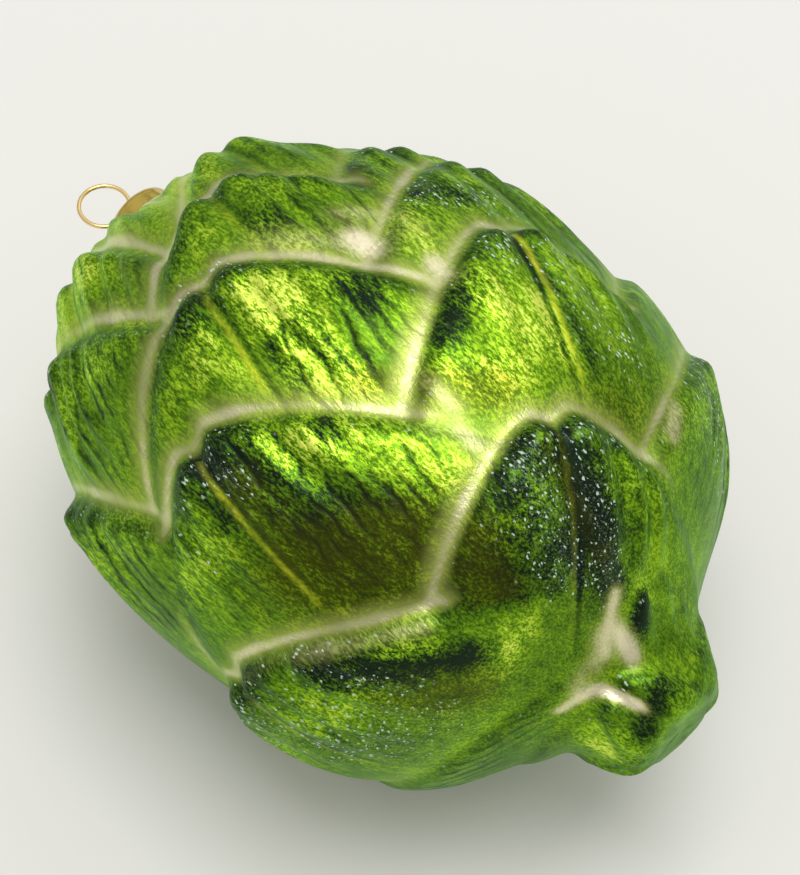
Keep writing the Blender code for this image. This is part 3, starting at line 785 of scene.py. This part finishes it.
def lacquered_glass(colours, spatter):
    """Silvered glass under airbrushed green lacquer, with frosted grains on it, and painted highlights and
    shade.
    """
    material, tree, shader, where = new_material("lacquered_glass")
    streaks = put(tree, "ShaderNodeMapping", {"Vector": where, "Scale": GRAIN_STRETCH}).outputs[0]
    broad = noise(tree, where, BROAD_SCALE, 3.0)
    middle = remap(tree, noise(tree, streaks, MIDDLE_SCALE, 4.0, 0.7), 0.36, 0.64)
    fine = remap(tree, noise(tree, streaks, FINE_SCALE, 2.0, 0.7), 0.38, 0.62)

    across = shifted(tree, mask(tree, "across"), broad, 1.2)
    grain = mask(tree, "grain")
    # painted shade in the creases between the soft folds
    folds = times(tree, fold_shade_lines(tree, across, where), mask(tree, "folds"))
    tone = shifted(tree, mask(tree, "tone"), broad, BROAD_SWING)
    tone = shifted(tree, tone, middle, times(tree, grain, MIDDLE_SWING))
    tone = shifted(tree, tone, fine, times(tree, grain, FINE_SWING))
    # painted shade along one side of each midrib crease
    midrib_shade = times(tree, ridge(tree, across, 0.75, 0.75), mask(tree, "midrib_shade"))
    tone = minus(tree, tone, times(tree, midrib_shade, 0.42))
    tone = minus(tree, tone, times(tree, folds, 0.37))
    colour = lacquer_ramp(tree, tone, colours)
    olive = remap(tree, shifted(tree, mask(tree, "olive"), middle, 0.3), 0.1, 0.95, 0.0, 0.75)
    shade = mixed(tree, 1.0, colour, tint((0.58, 0.46, 0.25)), "MULTIPLY")
    olive_coat = mixed(tree, remap(tree, tone, 0.3, 0.9), tint(colours.olive), shade)
    colour = mixed(tree, olive, colour, olive_coat)
    # more painted shade in the folds where the olive coat lies
    fold_shade = times(tree, folds, times(tree, olive, 0.85))
    colour = mixed(tree, fold_shade, colour, tint(colours.dark))
    # a painted highlight along the other side of each midrib, made patchy
    midrib_highlight = times(tree, ridge(tree, across, -0.35, 0.72), mask(tree, "midrib_highlight"))
    patchy = remap(tree, middle, 0.0, 1.0, 0.35, 0.9)
    colour = mixed(tree, times(tree, midrib_highlight, patchy), colour, tint(colours.midrib))

    bare = shifted(tree, shifted(tree, mask(tree, "silver"), broad, 0.5), fine, 0.08)
    away = shifted(tree, shifted(tree, mask(tree, "away"), broad, 1.6), fine, 0.2)
    uneven = remap(tree, noise(tree, where, UNEVEN_SCALE, 2.0), 0.36, 0.6, 0.35, 1.0)
    lines = times(tree, mask(tree, "lines"), uneven)
    thin_line = times(tree, remap(tree, away, 0.4, 3.0, 1.0, 0.0), mask(tree, "lines"))
    bare_line = times(tree, remap(tree, away, 0.1, 1.1, 1.0, 0.0), lines)
    thin = maths(tree, "MAXIMUM", remap(tree, bare, 0.1, 0.75), thin_line)
    colour = mixed(tree, times(tree, thin, 0.66), colour, tint(colours.thin))
    silver = maths(tree, "MAXIMUM", remap(tree, bare, 0.38, 1.0), bare_line)
    colour = mixed(tree, silver, colour, tint(colours.silver))

    frost = mask(tree, "frost")
    dash_place = put(tree, "ShaderNodeMapping", {"Vector": where, "Scale": DASH_STRETCH}).outputs[0]
    values = {"Vector": streaks, "Size": 0.2 * MM, "Amount": frost, "Softness": 0.1}
    grains = place_group(tree, spatter, values)
    flecks = pale_dashes(tree, dash_place, frost)
    flecks = maths(tree, "MAXIMUM", flecks, times(tree, grains, 0.24))
    flecks = times(tree, flecks, remap(tree, frost, 0.05, 0.6, 0.1, 0.9))
    colour = mixed(tree, flecks, colour, tint(colours.frost))

    join(tree, colour, shader.inputs["Base Color"])
    join(tree, minus(tree, 0.95, times(tree, flecks, 0.7)), shader.inputs["Metallic"])
    rough = remap(tree, fine, 0.0, 1.0, 0.35, 0.45)
    rough = minus(tree, rough, times(tree, silver, 0.08))
    join(tree, plus(tree, rough, times(tree, flecks, 0.35)), shader.inputs["Roughness"])
    shader.inputs["Specular Tint"].default_value = (0.7, 0.9, 0.68, 1.0)
    shader.inputs["Coat Weight"].default_value = 0.06
    shader.inputs["Coat Roughness"].default_value = 0.2
    height = plus(tree, times(tree, fine, 0.25), times(tree, flecks, 0.4))
    height = plus(tree, height, times(tree, middle, 0.5))
    height = minus(tree, height, times(tree, folds, 2.2))
    groove = times(tree, ridge(tree, across, 0.3, 0.9), mask(tree, "midrib_shade"))
    height = minus(tree, height, times(tree, groove, 2.5))
    bump = put(tree, "ShaderNodeBump", {"Strength": 0.5, "Distance": 0.12 * MM, "Height": height})
    join(tree, bump.outputs["Normal"], shader.inputs["Normal"])
    return material


def gold_metal(name, colour, roughness, crinkle, spatter):
    """Bright gold-coloured metal with fine scratches and crinkles."""
    material, tree, shader, where = new_material(name)
    values = {"Vector": where, "Size": 0.35 * MM, "Amount": 0.45, "Softness": 0.2}
    patchy = place_group(tree, spatter, values)
    tarnish = tint([part * 0.55 for part in colour])
    join(tree, mixed(tree, times(tree, patchy, 0.6), tint(colour), tarnish), shader.inputs["Base Color"])
    shader.inputs["Metallic"].default_value = 1.0
    join(tree, plus(tree, roughness, times(tree, patchy, 0.15)), shader.inputs["Roughness"])
    height = noise(tree, where, CRINKLE_SCALE, 3.0)
    bump = put(tree, "ShaderNodeBump", {"Strength": crinkle, "Distance": 0.2 * MM, "Height": height})
    join(tree, bump.outputs["Normal"], shader.inputs["Normal"])
    return material


def pale_floor(colour, spatter):
    material, tree, shader, where = new_material("pale_floor")
    values = {"Vector": where, "Size": 40.0 * MM, "Amount": 0.5, "Softness": 0.5}
    soft = place_group(tree, spatter, values)
    shade = tint([part * 0.985 for part in colour])
    join(tree, mixed(tree, soft, tint(colour), shade), shader.inputs["Base Color"])
    shader.inputs["Roughness"].default_value = 0.85
    return material


def shared_spatter():
    return bpy.data.node_groups.get("fine_spatter") or spatter_group()


class ORNAMENT_OT_blow_glass(Operator):
    """Blow the artichoke's glass with its bracts, and lacquer it"""
    bl_idname = "ornament.blow_glass"
    bl_label = "Blow Glass"

    def execute(self, context):
        sizes = context.scene.ornament_glass
        azimuth = np.arange(sizes.around) * 2 * math.pi / sizes.around
        outer_at = np.linspace(0.0, BODY_S[-1], sizes.outer_rows)
        station, turn = np.meshgrid(outer_at, azimuth, indexing="ij")
        radius = np.interp(station, BODY_S, BODY_R)
        skin = lay_bracts(turn, station, radius, sizes)
        height = softened(skin["height"], 2)
        outer = in_frame(raised(station, turn, height - SKIN_TRIM))
        outer = np.clip(outer, *CAD_BOX)
        masks = paint_masks(skin, turn, station, radius)

        neck_end = BODY_S[-1] - NECK_DEPTH
        inner_at = np.concatenate([np.linspace(BODY_S[-1], neck_end, sizes.neck_rows, endpoint=False),
                                   np.linspace(neck_end, INNER_START, sizes.inner_rows)])
        low = lowest_nearby(height, 8, 6)
        nearest = np.abs(outer_at[None, :] - inner_at[:, None]).argmin(axis=1)
        station, turn = np.meshgrid(inner_at, azimuth, indexing="ij")
        inner = in_frame(raised(station, turn, low[nearest] - sizes.wall))
        inner[..., 2] = np.maximum(inner[..., 2], sizes.wall)
        masks = {label: np.concatenate([values, np.full_like(station, float(label == "silver"))])
                 for label, values in masks.items()}

        mesh = turned_mesh(np.concatenate([outer, inner]), "glass_artichoke", masks)
        material = lacquered_glass(context.scene.ornament_finish, shared_spatter())
        place_piece(mesh, "glass_artichoke", "glass_body", material)
        return {"FINISHED"}


class ORNAMENT_OT_stamp_cap(Operator):
    """Stamp the crinkled metal cap over the neck"""
    bl_idname = "ornament.stamp_cap"
    bl_label = "Stamp Cap"

    def execute(self, context):
        mesh = turned_mesh(in_frame(cap_rows()), "stamped_cap")
        finish = context.scene.ornament_finish
        material = gold_metal("stamped_gold_metal", finish.cap, 0.26, 0.6, shared_spatter())
        place_piece(mesh, "stamped_cap", "cap", material)
        return {"FINISHED"}


class ORNAMENT_OT_bend_hanger(Operator):
    """Bend the wire hanger's loop and legs"""
    bl_idname = "ornament.bend_hanger"
    bl_label = "Bend Hanger"

    def execute(self, context):
        middle = Vector((0.0, -LOOP_SHIFT, CAP_TOP + LOOP_LIFT))
        foot = CAP_TOP - LEG_LENGTH
        first = [Vector((0.0, -LEG_SPREAD, foot)), Vector((0.0, -LEG_SPACING, foot + LEG_LENGTH / 2)),
                 Vector((0.0, -LEG_SPACING, CAP_TOP - CAP_WALL * 2)),
                 Vector((0.0, -LEG_SPACING, CAP_TOP + GAP))]
        loop = [middle + LOOP_RADIUS * Vector((0.0, math.cos(turn), math.sin(turn)))
                for turn in np.linspace(LOOP_START, LOOP_END, LOOP_POINTS)]
        route = first + loop + [Vector((0.0, -point.y, point.z)) for point in reversed(first)]
        wire = bpy.data.curves.new("wire_route", "CURVE")
        wire.dimensions = "3D"
        wire.bevel_depth = WIRE_RADIUS
        wire.bevel_resolution = 5
        wire.use_fill_caps = True
        spline = wire.splines.new("POLY")
        spline.points.add(len(route) - 1)
        place = PLACE @ Matrix.Rotation(-ROLL, 4, "Z")
        for point, spot in zip(spline.points, route):
            point.co = (*(place @ spot), 1.0)
        drawn = bpy.data.objects.new("wire_route", wire)
        context.scene.collection.objects.link(drawn)
        context.view_layer.update()
        mesh = bpy.data.meshes.new_from_object(drawn.evaluated_get(context.evaluated_depsgraph_get()))
        bpy.data.objects.remove(drawn)
        welded = bmesh.new()
        welded.from_mesh(mesh)
        bmesh.ops.remove_doubles(welded, verts=welded.verts, dist=0.01 * MM)
        bmesh.ops.recalc_face_normals(welded, faces=welded.faces)
        welded.to_mesh(mesh)
        welded.free()
        mesh.shade_smooth()
        finish = context.scene.ornament_finish
        material = gold_metal("gold_wire", finish.wire, 0.22, 0.15, shared_spatter())
        place_piece(mesh, "wire_hanger", "hanger", material)
        return {"FINISHED"}


class ORNAMENT_OT_set_stage(Operator):
    """Lay the pale floor and set the soft lights and the camera"""
    bl_idname = "ornament.set_stage"
    bl_label = "Set Stage"

    def execute(self, context):
        scene, stage = context.scene, context.scene.ornament_stage
        scene.view_settings.view_transform = "Standard"
        mesh = bpy.data.meshes.new("pale_floor")
        sheet = bmesh.new()
        bmesh.ops.create_grid(sheet, x_segments=2, y_segments=2, size=FLOOR_REACH)
        sheet.to_mesh(mesh)
        sheet.free()
        mesh.materials.append(pale_floor(scene.ornament_finish.floor, shared_spatter()))
        floor = bpy.data.objects.new("pale_floor", mesh)
        scene.collection.objects.link(floor)

        world = bpy.data.worlds.new("soft_room")
        world.use_nodes = True
        sky = world.node_tree
        where = put(sky, "ShaderNodeTexCoord").outputs["Generated"]
        rise = put(sky, "ShaderNodeSeparateXYZ", {0: where}).outputs["Z"]
        background = sky.nodes["Background"]
        background.inputs["Color"].default_value = (1.0, 0.995, 0.98, 1.0)
        join(sky, times(sky, remap(sky, rise, -0.2, 0.75, 0.37, 1.0), stage.world_light),
             background.inputs["Strength"])
        scene.world = world
        middle = PLACE @ Vector((0.0, 0.0, MIDDLE_HEIGHT))
        powers = (stage.key_power, stage.top_power)
        for (name, offset, width, depth), power in zip(LAMPS, powers):
            lamp = bpy.data.lights.new(name, "AREA")
            lamp.shape = "RECTANGLE"
            lamp.size, lamp.size_y = width, depth
            lamp.energy = power
            holder = bpy.data.objects.new(name, lamp)
            scene.collection.objects.link(holder)
            aim = Vector(offset).to_track_quat("Z", "Y").to_matrix().to_4x4()
            holder.matrix_world = Matrix.Translation(middle + Vector(offset)) @ aim

        back = Vector((math.sin(stage.azimuth) * math.cos(stage.elevation),
                       -math.cos(stage.azimuth) * math.cos(stage.elevation), math.sin(stage.elevation)))
        right = Vector((math.cos(stage.azimuth), math.sin(stage.azimuth), 0.0))
        up = back.cross(right)
        target = middle + up * AIM_UP - right * AIM_LEFT
        lens = bpy.data.cameras.new("photo_view")
        lens.sensor_width = 36.0
        lens.lens = stage.lens
        lens.clip_start = 0.01
        camera = bpy.data.objects.new("photo_view", lens)
        scene.collection.objects.link(camera)
        camera.matrix_world = (Matrix.Translation(target + back * stage.distance)
                               @ Matrix((right, up, back)).transposed().to_4x4())
        scene.camera = camera
        return {"FINISHED"}


class ORNAMENT_PT_make(Panel):
    """Lists the ornament's pieces in the sidebar"""
    bl_idname = "ORNAMENT_PT_make"
    bl_label = "Glass Artichoke Ornament"
    bl_space_type = "VIEW_3D"
    bl_region_type = "UI"
    bl_category = "Ornament"

    def draw(self, context):
        for operator in OPERATORS:
            self.layout.operator(operator.bl_idname)
        scene = context.scene
        for group in (scene.ornament_glass, scene.ornament_finish, scene.ornament_stage):
            box = self.layout.box()
            for label in group.bl_rna.properties.keys():
                if label not in ("rna_type", "name"):
                    box.prop(group, label)


OPERATORS = (ORNAMENT_OT_blow_glass, ORNAMENT_OT_stamp_cap, ORNAMENT_OT_bend_hanger,
             ORNAMENT_OT_set_stage)
CLASSES = (GlassSizes, FinishColours, StageSizes, *OPERATORS, ORNAMENT_PT_make)


def register():
    for item in CLASSES:
        bpy.utils.register_class(item)
    bpy.types.Scene.ornament_glass = PointerProperty(type=GlassSizes)
    bpy.types.Scene.ornament_finish = PointerProperty(type=FinishColours)
    bpy.types.Scene.ornament_stage = PointerProperty(type=StageSizes)


def unregister():
    del bpy.types.Scene.ornament_glass
    del bpy.types.Scene.ornament_finish
    del bpy.types.Scene.ornament_stage
    for item in reversed(CLASSES):
        bpy.utils.unregister_class(item)


def main():
    register()
    bpy.ops.ornament.blow_glass()
    bpy.ops.ornament.stamp_cap()
    bpy.ops.ornament.bend_hanger()
    bpy.ops.ornament.set_stage()


if __name__ == "__main__":
    main()
